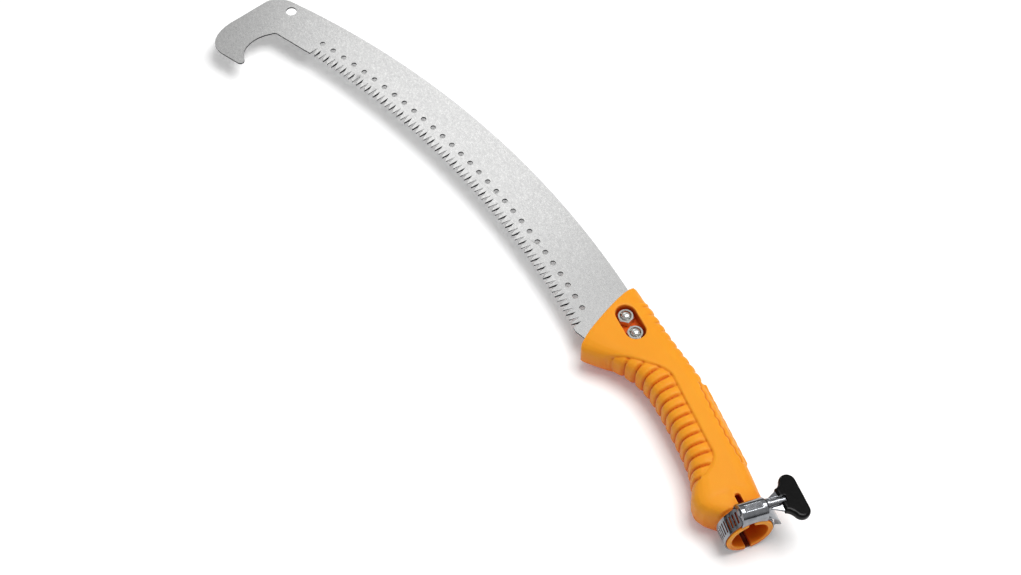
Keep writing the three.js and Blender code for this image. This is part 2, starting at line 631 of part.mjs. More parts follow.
const orangePlastic = () => material(0xf7941d, 0.42, 0);
const groundSteel = () => material(0xc9c9c9, 0.38, 1);
const zincSteel = () => material(0xd2d4d6, 0.25, 1);
const blackPlastic = () => material(0x171717, 0.2, 0);

function piece(name, geometry, finish) {
  const mesh = new THREE.Mesh(geometry, finish);
  mesh.name = name;
  return mesh;
}

const head = new THREE.Group();
head.add(piece('saw_blade', bladeGeometry(), groundSteel()));
head.add(piece('handle_body', handleGeometry(), orangePlastic()));

const BOLT_NAMES = ['rear', 'front'];
BOLT_PLACES.forEach(([x, y], index) => {
  const bolt = piece(`blade_bolt_${BOLT_NAMES[index]}`, boltGeometry(), zincSteel());
  bolt.position.set(x, y, 0);
  const nut = piece(`blade_nut_${BOLT_NAMES[index]}`, nutGeometry(), zincSteel());
  nut.position.set(x, y, POCKET_FLOOR + FIT_GAP / 2);
  head.add(bolt, nut);
});

const clamp = new THREE.Group();
clamp.add(piece('clamp_band', bandGeometry(), zincSteel()));
clamp.add(piece('clamp_housing', housingGeometry(), zincSteel()));
clamp.add(piece('worm_screw', wormGeometry(), zincSteel()));
clamp.add(piece('screw_key', keyGeometry(), zincSteel()));
clamp.add(piece('thumb_turn', turnGeometry(), blackPlastic()));
clamp.position.set(CLAMP_PLACE, 0, 0);
clamp.rotation.set(CLAMP_TURN * DEGREE, 0, 0);
head.add(clamp);

// Set down with the middle of the underside at the origin.
head.updateMatrixWorld(true);
const box = new THREE.Box3().setFromObject(head, true);
const middle = box.getCenter(new THREE.Vector3());
head.position.set(-middle.x, -middle.y, -box.min.z);

const poleSawHead = new THREE.Group();
poleSawHead.add(head);

export default poleSawHead;
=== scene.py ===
# %% [markdown]
# # A pole saw head
# The head is a curved pruning blade with a hooked toe, bolted into an orange moulded handle.
# The open end of the handle is a split socket for a pole, and a worm-drive band clamp with a
# black thumb turn draws it tight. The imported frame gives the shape, the sizes and the joints.
# Everything here is built round it in millimetres and moved to the frame's metres at the end.

# %% Load the frame
import json
import math

import bmesh
import bpy
import numpy as np
from mathutils import Matrix, Vector


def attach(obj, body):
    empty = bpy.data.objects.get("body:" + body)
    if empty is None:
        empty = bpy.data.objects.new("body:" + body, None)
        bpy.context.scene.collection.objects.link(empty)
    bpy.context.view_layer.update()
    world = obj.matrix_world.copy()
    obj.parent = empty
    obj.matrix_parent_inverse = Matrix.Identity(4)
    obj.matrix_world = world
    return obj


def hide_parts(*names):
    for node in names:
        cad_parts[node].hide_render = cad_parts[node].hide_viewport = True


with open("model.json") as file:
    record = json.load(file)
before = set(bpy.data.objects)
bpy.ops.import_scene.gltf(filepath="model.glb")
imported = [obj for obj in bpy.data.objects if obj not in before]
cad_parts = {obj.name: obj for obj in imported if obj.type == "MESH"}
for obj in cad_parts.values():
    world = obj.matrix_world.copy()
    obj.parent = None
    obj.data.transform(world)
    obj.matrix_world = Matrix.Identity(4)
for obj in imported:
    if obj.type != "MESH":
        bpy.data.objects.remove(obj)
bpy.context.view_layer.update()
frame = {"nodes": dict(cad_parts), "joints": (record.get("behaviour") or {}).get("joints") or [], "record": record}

# %% [markdown]
# The working axes are the ones a maker would draw the head on: X runs along the socket from its
# rim, Y points to the cutting side and the blade's middle plane is Z = 0. The frame says where
# that origin is: the rim's face gives X, and the swivel axis of the clamp gives Y and Z.

# %% Working axes
MILLIMETRE = 0.001
joints = {joint["name"]: joint for joint in frame["joints"]}
mounts = {mount["name"]: mount for mount in frame["record"]["mounts"]}
swivel = Vector(joints["clamp_swivel"]["pos_m"])
origin = Vector((mounts["socket_rim"]["pos_m"][0], swivel.y, swivel.z))
PLACE = Matrix.Translation(origin) @ Matrix.Scale(MILLIMETRE, 4)

screw_axis = Vector(joints["screw_turn"]["axis"])
clamp_turn = math.atan2(-screw_axis.z, -screw_axis.y)
clamp_place = (swivel.x - origin.x) / MILLIMETRE
CLAMP = Matrix.Translation((clamp_place, 0, 0)) @ Matrix.Rotation(clamp_turn, 4, "X")
screw_at = CLAMP.inverted() @ (PLACE.inverted() @ Vector(joints["screw_turn"]["pos_m"]))
screw_height = screw_at.z
print("origin", [round(v, 5) for v in origin], "screw height", round(screw_height, 3))

# %% [markdown]
# The camera stands high beyond the socket, on the cutting side, and looks down along the blade,
# so the hook is far away and small and the socket is near. A long lens keeps the handle from
# swelling.

# %% Camera
camera_data = bpy.data.cameras.new("camera")
camera_data.lens = 76.8
camera_data.sensor_width = 36
camera_data.clip_end = 20
camera = bpy.data.objects.new("camera", camera_data)
bpy.context.scene.collection.objects.link(camera)
camera.location = PLACE @ Vector((-525.9, 363.2, 1172.6))
look_at = PLACE @ Vector((223.3, 68.1, 0))
camera.rotation_euler = (look_at - camera.location).to_track_quat("-Z", "Y").to_euler()
bpy.context.scene.camera = camera
print("camera at", [round(v, 4) for v in camera.location])

# %% [markdown]
# A plain white table and soft light. A small soft box stands where the flat of the blade mirrors
# it, so the steel reads as bright satin. The key light comes over the back of the handle and
# throws the soft shadow towards the teeth. The world adds white fill from halfway up. It is dark
# at the horizon and dimmer overhead, so that rounded metal mirrors both light and dark.

# %% Table and light
bm = bmesh.new()
bmesh.ops.create_grid(bm, x_segments=1, y_segments=1, size=3)
table_mesh = bpy.data.meshes.new("table")
bm.to_mesh(table_mesh)
bm.free()
table = bpy.data.objects.new("table", table_mesh)
bpy.context.scene.collection.objects.link(table)


def soft_box(name, place, aim, size, power):
    """A square area light at a working point, facing another."""
    data = bpy.data.lights.new(name, "AREA")
    data.size = size
    data.energy = power
    light = bpy.data.objects.new(name, data)
    bpy.context.scene.collection.objects.link(light)
    light.location = PLACE @ Vector(place)
    towards = (PLACE @ Vector(aim)) - light.location
    light.rotation_euler = towards.to_track_quat("-Z", "Y").to_euler()
    return light


key = soft_box("key_light", (150, -420, 1500), (230, 40, 0), 0.95, 22)
blade_box = soft_box("blade_light", (735, -60, 500), (340, 60, 0), 0.3, 0.24)
world = bpy.data.worlds.new("studio")
bpy.context.scene.world = world
world.use_nodes = True
sky = world.node_tree
direction = sky.nodes.new("ShaderNodeTexCoord").outputs["Generated"]
split = sky.nodes.new("ShaderNodeSeparateXYZ")
sky.links.new(direction, split.inputs["Vector"])
walls = sky.nodes.new("ShaderNodeValToRGB")
sky.links.new(split.outputs["Z"], walls.inputs["Fac"])
walls.color_ramp.elements[0].position = 0.10
walls.color_ramp.elements[0].color = (0.05, 0.05, 0.055, 1)
walls.color_ramp.elements[1].position = 0.46
walls.color_ramp.elements[1].color = (1, 1, 1, 1)
walls.color_ramp.elements.new(0.84).color = (1, 1, 1, 1)
walls.color_ramp.elements.new(0.97).color = (0.3, 0.3, 0.3, 1)
sky.links.new(walls.outputs["Color"], sky.nodes["Background"].inputs["Color"])
sky.nodes["Background"].inputs["Strength"].default_value = 0.56
bpy.context.scene.view_settings.view_transform = "Standard"
print("lights:", [light.name for light in (key, blade_box)])

# %% [markdown]
# ## Finishes
# Colours are written as the hex values a paint chart would give, and one function turns them to
# the linear numbers that the shaders add up. A second function adds a node with its settings and
# its links. The functions after those are the few steps that the finishes have in common.
# Patterns read object coordinates, which are metres, so marks `s` millimetres apart have a scale
# of `1000 / s`.


# %% Colour and node helpers
def colour(hex_value):
    """An sRGB hex colour as linear RGBA."""
    channels = [int(hex_value[i:i + 2], 16) / 255 for i in (1, 3, 5)]
    linear = [c / 12.92 if c <= 0.04045 else ((c + 0.055) / 1.055) ** 2.4 for c in channels]
    return (*linear, 1)


def add_node(tree, kind, settings=(), links=()):
    """Adds a node. A key that names or numbers an input sets it; any other sets a property."""
    node = tree.nodes.new(kind)
    for key_name, value in dict(settings).items():
        if isinstance(key_name, int) or key_name in node.inputs:
            node.inputs[key_name].default_value = value
        else:
            setattr(node, key_name, value)
    for key_name, socket in dict(links).items():
        tree.links.new(socket, node.inputs[key_name])
    return node


def new_finish(name, **shader_settings):
    """A material with its principled shader set, its node tree and its object coordinates."""
    finish = bpy.data.materials.new(name)
    finish.use_nodes = True
    tree = finish.node_tree
    shader = tree.nodes["Principled BSDF"]
    for socket_name, value in shader_settings.items():
        shader.inputs[socket_name.replace("_", " ")].default_value = value
    place = add_node(tree, "ShaderNodeTexCoord").outputs["Object"]
    return finish, tree, shader, place


def noise(tree, place, spacing, detail):
    """A noise value with marks about this many millimetres apart."""
    settings = {"Scale": 1000 / spacing, "Detail": detail}
    return add_node(tree, "ShaderNodeTexNoise", settings, {"Vector": place}).outputs["Fac"]


def remapped(tree, value, start=0.0, end=1.0, low=0.0, high=1.0):
    """A value carried from the range start to end over to the range low to high."""
    settings = {"From Min": start, "From Max": end, "To Min": low, "To Max": high}
    return add_node(tree, "ShaderNodeMapRange", settings, {"Value": value}).outputs["Result"]


def blended(tree, share, first, second):
    """A share of the second colour in the first; each is a hex value or a node's output."""
    node = add_node(tree, "ShaderNodeMix", {"data_type": "RGBA"}, {0: share})
    for number, value in ((6, first), (7, second)):
        if isinstance(value, str):
            node.inputs[number].default_value = colour(value)
        else:
            tree.links.new(value, node.inputs[number])
    return node.outputs[2]


def bumped(tree, shader, height, strength, distance):
    """Lets a height pattern tilt the shading."""
    bump = add_node(tree, "ShaderNodeBump", {"Strength": strength, "Distance": distance},
                    {"Height": height})
    tree.links.new(bump.outputs["Normal"], shader.inputs["Normal"])


# %% [markdown]
# The table is matt white card. It gives off a little light of its own, which brings the floor
# near the head up to a clean white.

# %% Matt white card
table_finish, tree, shader, place = new_finish(
    "matt_white_card", Roughness=0.9, Base_Color=colour("#FAFAFA"),
    Emission_Color=colour("#FFFFFF"), Emission_Strength=0.09)
table_mesh.materials.append(table_finish)
print("table:", table_finish.name)

# %% [markdown]
# The handle is injection-moulded polypropylene, coloured right through. The tool it was moulded
# in was spark-eroded, which leaves a very fine matt grain, drawn here at 0.7 mm so that it shows.
# The plastic is a little translucent. Its colour also carries painted shade, a deeper, redder
# orange in the hollows: ambient occlusion finds the broad hollows and the geometry's pointiness
# the narrow ones. Pointiness also gives the crowns a painted highlight in a paler orange: it is
# below one half in a groove and above on a ridge.

# %% Moulded polypropylene
orange_finish, tree, shader, place = new_finish(
    "moulded_polypropylene", IOR=1.49, Specular_IOR_Level=0.12, Subsurface_Weight=0.25,
    Subsurface_Radius=(1.0, 0.35, 0.08), Subsurface_Scale=0.003)
cloud = noise(tree, place, 35.7, 2)
openness = add_node(tree, "ShaderNodeAmbientOcclusion", {"samples": 4, "Distance": 0.03})
pointiness = add_node(tree, "ShaderNodeNewGeometry").outputs["Pointiness"]
# Painted shade: the hollows are darkened to a redder orange by ambient occlusion and pointiness.
painted_shade_broad_hollow = remapped(tree, openness.outputs["AO"], 0.15, 0.98, 1.0, 0.0)
painted_shade_narrow_hollow = remapped(tree, pointiness, 0.42, 0.498, 1.0, 0.0)
# Painted highlight: the ridges and crowns are lightened to a paler orange.
painted_highlight_ridge = remapped(tree, pointiness, 0.512, 0.575, 0.0, 0.65)
orange = blended(tree, cloud, "#DF8E1C", "#E79A28")
orange = blended(tree, painted_shade_broad_hollow, orange, "#CC3400")
orange = blended(tree, painted_shade_narrow_hollow, orange, "#BC4400")
orange = blended(tree, painted_highlight_ridge, orange, "#FFB850")
tree.links.new(orange, shader.inputs["Base Color"])
tree.links.new(remapped(tree, cloud, low=0.36, high=0.48), shader.inputs["Roughness"])
bumped(tree, shader, noise(tree, place, 0.7, 3), 0.10, 0.0002)
print("finish:", orange_finish.name)

# %% [markdown]
# The blade is spring steel, surface-ground and then tumbled, so it has no polish and no clear
# direction: a fine grey speckle of grit marks, drawn 0.6 mm apart so that it shows, multiplied by
# marks 1.1 mm apart that are a little longer along X. The walls of the punched holes and the flanks
# of the teeth get a second, near-black finish. It is painted shade: it stands for the shade that
# lies in the holes and the gullets.

# %% Ground spring steel and painted shade
steel_finish, tree, shader, place = new_finish("ground_spring_steel", Metallic=1.0)
stretched = add_node(tree, "ShaderNodeMapping", {"Scale": (0.6, 1, 1)}, {"Vector": place})
streaks = noise(tree, stretched.outputs["Vector"], 1.1, 3)
speckle = noise(tree, place, 0.6, 3)
marks = add_node(tree, "ShaderNodeMath", {"operation": "MULTIPLY"},
                 {0: streaks, 1: speckle}).outputs["Value"]
tone = remapped(tree, marks, 0.12, 0.42)
tree.links.new(blended(tree, tone, "#C0C0C0", "#DCDCDB"), shader.inputs["Base Color"])
tree.links.new(remapped(tree, tone, low=0.28, high=0.25), shader.inputs["Roughness"])
bumped(tree, shader, marks, 0.04, 0.0001)

# Painted shade: a near-black steel for the hole walls and tooth flanks, standing in for the shade in the holes and
# gullets.
painted_shade_finish, tree, shader, place = new_finish("painted_shade_steel", Metallic=1.0, Roughness=0.5)
painted_shade_tone = blended(tree, noise(tree, place, 1.5, 3), "#18181A", "#343436")
tree.links.new(painted_shade_tone, shader.inputs["Base Color"])
print("finishes:", steel_finish.name, painted_shade_finish.name)

# %% [markdown]
# The bolts and nuts are mild steel with bright zinc plate: a pale silver that mirrors its
# surroundings, slightly clouded, with fine drawing marks left under the plate. The clamp is
# stainless strip, which is a darker grey and is bright-rolled, so it mirrors more sharply. Both
# are the same recipe: clouds 4 mm across over drawing marks 0.8 mm apart.

# %% Bright zinc plate and stainless strip
metals = {}
for name, dark, light, smoothest in (("bright_zinc_plate", "#B4B5B2", "#E4E5E0", 0.14),
                                     ("rolled_stainless_strip", "#66686C", "#A2A4A8", 0.10)):
    metals[name], tree, shader, place = new_finish(name, Metallic=1.0)
    cloud = noise(tree, place, 4, 4)
    sheen = remapped(tree, cloud, low=smoothest, high=smoothest + 0.12)
    tree.links.new(blended(tree, cloud, dark, light), shader.inputs["Base Color"])
    tree.links.new(sheen, shader.inputs["Roughness"])
    bumped(tree, shader, noise(tree, place, 0.8, 2), 0.06, 0.0002)
zinc_finish = metals["bright_zinc_plate"]
strip_finish = metals["rolled_stainless_strip"]
print("finishes:", zinc_finish.name, strip_finish.name)

# %% [markdown]
# The thumb turn is moulded in glossy black ABS. Its skin is smooth, with a faint ripple from
# shrinkage that breaks up the reflections.

# %% Gloss black ABS
black_finish, tree, shader, place = new_finish(
    "gloss_black_abs", Roughness=0.16, IOR=1.53, Specular_IOR_Level=0.12)
ripple = noise(tree, place, 6, 2)
tree.links.new(blended(tree, ripple, "#040404", "#090909"), shader.inputs["Base Color"])
bumped(tree, shader, ripple, 0.08, 0.0006)
print("finish:", black_finish.name)

# %% [markdown]
# ## Ways of making a piece
# A CAD node is loose triangles, so a copy is merged before it is worked on. Moulded and pressed
# pieces have no hard edges: their copy is rebuilt on an even grid of voxels and smoothed, which
# rounds every edge as a mould or a press would. Turned pieces are rolled up from a flat grid.


# %% Making and finishing a piece
def working_copy(node):
    """A merged copy of a CAD node on the working axes."""
    bm = bmesh.new()
    bm.from_mesh(frame["nodes"][node].data)
    bmesh.ops.transform(bm, matrix=PLACE.inverted(), verts=bm.verts)
    bmesh.ops.remove_doubles(bm, verts=bm.verts, dist=0.002)
    return bm


def as_object(bm, name="work"):
    """A new object in the scene made of a bmesh, which is used up."""
    mesh = bpy.data.meshes.new(name)
    bm.to_mesh(mesh)
    bm.free()
    obj = bpy.data.objects.new(name, mesh)
    bpy.context.scene.collection.objects.link(obj)
    return obj


def modified(bm, kind, **settings):
    """A new bmesh: the old one after one modifier. The old one is used up."""
    obj = as_object(bm)
    modifier = obj.modifiers.new("step", kind)
    for key_name, value in settings.items():
        setattr(modifier, key_name, value)
    bpy.context.view_layer.update()
    done = bpy.data.meshes.new_from_object(
        obj.evaluated_get(bpy.context.evaluated_depsgraph_get()))
    result = bmesh.new()
    result.from_mesh(done)
    bpy.data.objects.remove(obj)
    bpy.data.meshes.remove(done)
    return result


def smoothed(bm, rounds, verts=None):
    """Smooths some of a bmesh's points, or all of them."""
    for _ in range(rounds):
        bmesh.ops.smooth_vert(bm, verts=verts or bm.verts, factor=0.5,
                              use_axis_x=True, use_axis_y=True, use_axis_z=True)


def bevelled(bm, edges, width, segments=1):
    """Breaks these edges with a bevel."""
    bmesh.ops.bevel(bm, geom=edges, offset=width, offset_type="OFFSET", affect="EDGES",
                    segments=segments, profile=0.5, material=-1, clamp_overlap=True)


def finish_piece(bm, name, body, nodes, finish, sharp_above=40, turn=None):
    """Moves the shape to the frame, gives it its finish, hangs it on its body and hides the CAD nodes it stands
    for.
    """
    if turn is not None:
        bmesh.ops.transform(bm, matrix=turn, verts=bm.verts)
    bmesh.ops.remove_doubles(bm, verts=bm.verts, dist=0.0005)
    bmesh.ops.recalc_face_normals(bm, faces=bm.faces)
    bmesh.ops.transform(bm, matrix=PLACE, verts=bm.verts)
    obj = as_object(bm, name)
    obj.data.materials.append(finish)
    obj.data.polygons.foreach_set("use_smooth", [True] * len(obj.data.polygons))
    obj.data.set_sharp_from_angle(angle=math.radians(sharp_above))
    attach(obj, body)
    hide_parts(*nodes)
    print(f"{name}: {len(obj.data.polygons)} faces")
    return obj


# %% [markdown]
# ## Blade
# The blade is punched from 1.2 mm plate, with its teeth side by side along an arc. The copy's flat
# faces are dissolved to single faces, so the bevels made later have nothing to run into. The
# arc is written here too, because every later step asks which tooth a point is on.

# %% Tooth line
bm = working_copy("saw_blade")
bmesh.ops.dissolve_limit(bm, angle_limit=math.radians(0.5), verts=bm.verts, edges=bm.edges,
                         use_dissolve_boundaries=False)
print("blade faces after dissolving:", len(bm.faces))
TOOTH_LINE_RADIUS = 638.7
TOOTH_PITCH = 4.035
TOOTH_COUNT = 73
TOOTH_DEPTH = 5.6
HEEL_LAND = 3.4
HEEL_ANGLE = math.radians(-86.85)
HEEL = Vector((177.5, 42, 0))
HALF_PLATE = 0.6
tooth_centre = HEEL - TOOTH_LINE_RADIUS * Vector((math.cos(HEEL_ANGLE), math.sin(HEEL_ANGLE), 0))


def tooth_of(point):
    """Which tooth a point of the plate's edge is on, and how deep in from the tips."""
    arm = point - tooth_centre
    along = (math.atan2(arm.y, arm.x) - HEEL_ANGLE) * TOOTH_LINE_RADIUS - HEEL_LAND
    return along / TOOTH_PITCH, arm.to_2d().length - TOOTH_LINE_RADIUS


def rim_edges(bm, shallowest, deepest):
    """Edges between a wall and a flat of the plate, at this depth behind the tips."""
    for edge in bm.edges:
        if len(edge.link_faces) != 2 or edge.calc_face_angle(0) < math.radians(50):
            continue
        middle = (edge.verts[0].co + edge.verts[1].co) / 2
        index, depth = tooth_of(middle)
        on_flat = abs(abs(middle.z) - HALF_PLATE) < 0.01
        if on_flat and 0 < index < TOOTH_COUNT and shallowest < depth < deepest:
            yield edge, int(index), middle.z > 0


# %% [markdown]
# The grinding wheel slims each tooth behind its tip and takes the gullets a little deeper than
# the punch did. So the points on the flanks move towards the middle of their tooth, and the
# points at the bottom of a gullet move further into the plate.

# %% Teeth slimmed
SLIMMING = 0.75
GULLET_RELIEF = 1.4
GULLET_BAND = 0.45
flank_points = 0
for vert in bm.verts:
    index, depth = tooth_of(vert.co)
    if -0.3 < index < TOOTH_COUNT + 0.3 and abs(depth - TOOTH_DEPTH) <= GULLET_BAND:
        vert.co += GULLET_RELIEF * (vert.co - tooth_centre).to_2d().normalized().to_3d()
    if 0 < index < TOOTH_COUNT and 0.3 < depth < TOOTH_DEPTH - 0.4:
        arm = (vert.co - tooth_centre).to_2d().normalized()
        step = (0.5 - index % 1) * TOOTH_PITCH * SLIMMING
        vert.co += step * Vector((-arm.y, arm.x, 0))
        flank_points += 1
print("flank points moved:", flank_points)

# %% [markdown]
# The wheel bevels the teeth alternately from above and from below. The punch rolls the rims of
# the holes in a little, and the inside of the hook is honed to a bevel on its upper face.

# %% Bevels of the blade
HOLE_BEVEL = 0.6
TOOTH_BEVEL = 0.75
HOOK_BEVEL = 0.9
HOOK_MOUTH = Vector((470.5, 153.5, 0))
HOOK_REACH = 30
punched = [edge for edge, _, _ in rim_edges(bm, TOOTH_DEPTH + 1, TOOTH_DEPTH + 10)]
bevelled(bm, punched, HOLE_BEVEL)
ground = [edge for edge, index, above in rim_edges(bm, -1, TOOTH_DEPTH - 0.5)
          if (index % 2 == 0) == above]
bevelled(bm, ground, TOOTH_BEVEL)
honed = []
for edge in bm.edges:
    middle = (edge.verts[0].co + edge.verts[1].co) / 2
    walls = [face.normal for face in edge.link_faces if abs(face.normal.z) < 0.5]
    if walls and middle.z > HALF_PLATE - 0.01 and (middle - HOOK_MOUTH).length < HOOK_REACH:
        if walls[0].dot(HOOK_MOUTH - middle) > 2:
            honed.append(edge)
bevelled(bm, honed, HOOK_BEVEL)
print("hole edges:", len(punched), "ground edges:", len(ground), "hook edges:", len(honed))

# %% [markdown]
# The flats of the plate keep the ground finish. Its walls, the rims of the holes and the flanks
# of the teeth take the near-black painted shade, and so does any other bevel that faces away from
# the handle.

# %% The blade's ground finish and painted shade
blade = finish_piece(bm, "blade", "head", ["saw_blade"], steel_finish,
                     sharp_above=20)
blade.data.materials.append(painted_shade_finish)
back_to_working = PLACE.inverted()
painted_shade_faces = 0
for face in blade.data.polygons:
    index, _ = tooth_of(back_to_working @ face.center)
    wall = abs(face.normal.z) < 0.2
    slanted = abs(face.normal.z) < 0.95
    # Walls and slanted faces here get the painted shade.
    if wall or (slanted and (0 < index < TOOTH_COUNT or face.normal.x > 0)):
        face.material_index = 1
        painted_shade_faces += 1
print("dark faces:", painted_shade_faces)

# %% [markdown]
# ## Handle
# One moulding makes the socket, the grip and the cheeks that hold the blade. Smooth curves through
# a few points give the grip's two edges and its thickness, so that any point of the mesh can be
# placed across it and through it.

# %% Edges of the grip
NECK_RADIUS = 15.5
NECK_LENGTH = 15.2
FINGER_EDGE = [(NECK_LENGTH, NECK_RADIUS), (22, 23.2), (29.5, 25.6), (40, 21.4), (56, 16.8),
               (90, 15.9), (115, 17.6), (130, 22), (143, 31), (152, 40.5), (160, 48), (200, 70)]
BACK_EDGE = [(NECK_LENGTH, -NECK_RADIUS), (40, -17), (105, -16.5), (143, -11.5), (175, -8),
             (200, -5.5)]
HALF_THICKNESS = [(NECK_LENGTH, 15.1), (60, 14.4), (140, 12.8), (200, 12.8)]


def curve_through(points, x):
    """Smooth heights through a few (x, height) points, for an array of x."""
    px, py = (np.array(axis, float) for axis in zip(*points))
    slope = np.empty(len(px))
    slope[1:-1] = (py[2:] - py[:-2]) / (px[2:] - px[:-2])
    slope[0] = (py[1] - py[0]) / (px[1] - px[0])
    slope[-1] = (py[-1] - py[-2]) / (px[-1] - px[-2])
    i = np.clip(np.searchsorted(px, x) - 1, 0, len(px) - 2)
    span = px[i + 1] - px[i]
    t = np.clip((x - px[i]) / span, 0, 1)
    return (py[i] * (1 + 2 * t) * (1 - t) ** 2 + py[i + 1] * (3 - 2 * t) * t ** 2
            + slope[i] * span * t * (1 - t) ** 2 - slope[i + 1] * span * t ** 2 * (1 - t))


print("grip at x = 90:", curve_through(FINGER_EDGE, np.array([90.0])))

# %% [markdown]
# The voxel copy rounds every edge. Each of its points then gets its place: `across` runs from -1
# at the back to 1 at the finger edge, `through` from -1 below to 1 above, and `outward` points
# away from the grip's middle as the skin of a rounded bar does. `skin` leaves the inside out.

# %% Handle, voxelled and measured
bm = working_copy("handle_body")
bm = modified(bm, "REMESH", mode="VOXEL", voxel_size=0.64, use_smooth_shade=True)
smoothed(bm, 3)
co = np.array([v.co for v in bm.verts])
x, y, z = co.T
top, low = curve_through(FINGER_EDGE, x), curve_through(BACK_EDGE, x)
across = np.clip((y - (top + low) / 2) / ((top - low) / 2), -1, 1)
through = np.clip(z / curve_through(HALF_THICKNESS, x), -1, 1)
outward = np.stack([np.zeros_like(x), np.sign(across) * np.abs(across) ** 2.4 / (top - low),
                    np.sign(through) * np.abs(through) ** 2.4 / 29], axis=1)
outward /= np.linalg.norm(outward, axis=1)[:, None] + 1e-9
skin = np.abs(across) ** 3.4 + np.abs(through) ** 3.4 > 0.55
print("handle voxel faces:", len(bm.faces), "points on its skin:", int(skin.sum()))

# %% [markdown]
# A sunk panel along the finger edge carries ribs that stop the hand from slipping. Each point
# between two grooves moves out, most at the middle of its rib, so the ribs catch the light as
# rounded bars. The grooves and the step down to the panel are cut in a little further.

# %% Ribs crowned
RIB_PITCH = 7.15
RIB_COUNT = 15
RIB_START = 43.5
RIB_CROWN = 0.55
GROOVE_DEPTH = 1.1
STEP_DEPTH = 0.6
PANEL_X = [38.6, 42, 47, 52, 56.5, 116, 119, 122.5, 126.5, 130.5, 136, 141, 145, 148, 150]
PANEL_Y = [21.5, 12.2, 5.0, 1.6, 0.8, 0.8, 1.6, 3.5, 6.9, 11.3, 17.0, 23.4, 30.1, 36.6, 43]
steepness = np.hypot(1, np.interp(x, PANEL_X, np.gradient(PANEL_Y, PANEL_X)))
from_line = (y - np.interp(x, PANEL_X, PANEL_Y)) / steepness
inside = np.clip((from_line - 1.2) / 2.2, 0, 1)
inside *= np.clip((x - 39.5) / 2, 0, 1) * (x < 150)

groove_x = RIB_START + RIB_PITCH * np.arange(-1, RIB_COUNT + 1)
groove_y = curve_through(FINGER_EDGE, groove_x)
groove_slope = (curve_through(FINGER_EDGE, groove_x + 1)
                - curve_through(FINGER_EDGE, groove_x - 1)) / 2
groove_turn = np.arctan(groove_slope) * 0.75
reach = [(x - gx) * math.cos(a) + (y - gy) * math.sin(a)
         for gx, gy, a in zip(groove_x, groove_y, groove_turn)]
crown = np.zeros_like(x)
for before, after in zip(reach, reach[1:]):
    between = (before > 0) & (after <= 0)
    share = before / (before - after + 1e-9)
    off_centre = np.abs(2 * share - 1)
    height = RIB_CROWN * (1 - off_centre ** 3) - GROOVE_DEPTH * off_centre ** 5
    crown = np.where(between, height, crown)
push = crown * inside * skin
push -= STEP_DEPTH * np.exp(-((from_line - 0.2) / 0.55) ** 2) * skin * (x > 42) * (x < 148)
print("rib points:", int((inside > 0).sum()))

# %% [markdown]
# In front of the pad the back edge is scalloped, one round for each rib, for the heel of the hand.

# %% Back edge scalloped
SCALLOP_START = 107.5
SCALLOP_COUNT = 9.4
SCALLOP_RISE = 1.1
scallop = (x - SCALLOP_START) / RIB_PITCH
bump = SCALLOP_RISE * (1 - np.abs(2 * (scallop % 1) - 1) ** 2.5) - 0.1
on_back = np.clip((-across - 0.72) / 0.2, 0, 1) * (scallop > 0) * (scallop < SCALLOP_COUNT)
push += bump * on_back * skin
co += outward * push[:, None]
print("scallop points:", int((on_back > 0).sum()))

# %% [markdown]
# The neck is flattened a little above and below, where it runs into the grip. The back pad is a
# raised strip with a wavy border: a furrow follows its border, and its edges are nipped in at
# each wave.

# %% Neck and back pad
PAD_START = 43
PAD_END = 106
NECK_FLATTENING = 0.026
PAD_FURROW_DEPTH = 1.1
PAD_NIP = 0.16
post_share = np.clip((x - NECK_LENGTH) / 12, 0, 1)
on_post = (x > NECK_LENGTH) * (x < NECK_LENGTH + 12.6) * np.clip((np.abs(z) - 12.8) / 1.8, 0, 1)
co[:, 2] *= 1 - NECK_FLATTENING * post_share * on_post

pad_share = np.clip((x - PAD_START) / (PAD_END - PAD_START), 0, 1)
pad_wave = (x - PAD_START) / RIB_PITCH
pad_line = (low + 1.5 + 3.4 * np.sin(math.pi * (0.1 + 0.75 * pad_share))
            + 0.5 * np.cos(2 * math.pi * pad_wave))
furrow = np.exp(-((y - pad_line) / 0.75) ** 2) * (x > PAD_START) * (x < PAD_END) * skin
co -= outward * (PAD_FURROW_DEPTH * furrow)[:, None]

pad_bump = np.abs(2 * (pad_wave % 1) - 1) ** 3
on_pad = (x > 44) & (x < 104.5) & (y < low - 0.2) & (np.abs(z) > 4.5)
co[:, 2] = np.where(on_pad, z * (1 - PAD_NIP * pad_bump), co[:, 2])
print("pad points:", int(on_pad.sum()))

# %% [markdown]
# The moved points go back to the mesh and are smoothed, with ten more rounds on the shoulder
# where the neck meets the grip.

# %% Handle smoothed and finished
for vert, place in zip(bm.verts, co):
    vert.co = place
smoothed(bm, 2)
shoulder = [vert for vert in bm.verts if 24 < vert.co.x < 31 and abs(vert.co.z) > 12]
smoothed(bm, 10, shoulder)
finish_piece(bm, "handle", "head", ["handle_body"], orange_finish,
             sharp_above=180)

# %% [markdown]
# ## Bolts and nuts
# Two M6 bolts run up through the blade from below, and their nuts sit in the pocket on top. One
# function rolls a flat grid round the Z axis: each column is a profile of radii and heights, and
# the profile may change with the angle. That makes a hexagon with the curved chamfers that a
# lathe leaves on it, and a thread that climbs one pitch for each turn, with nothing to cut.


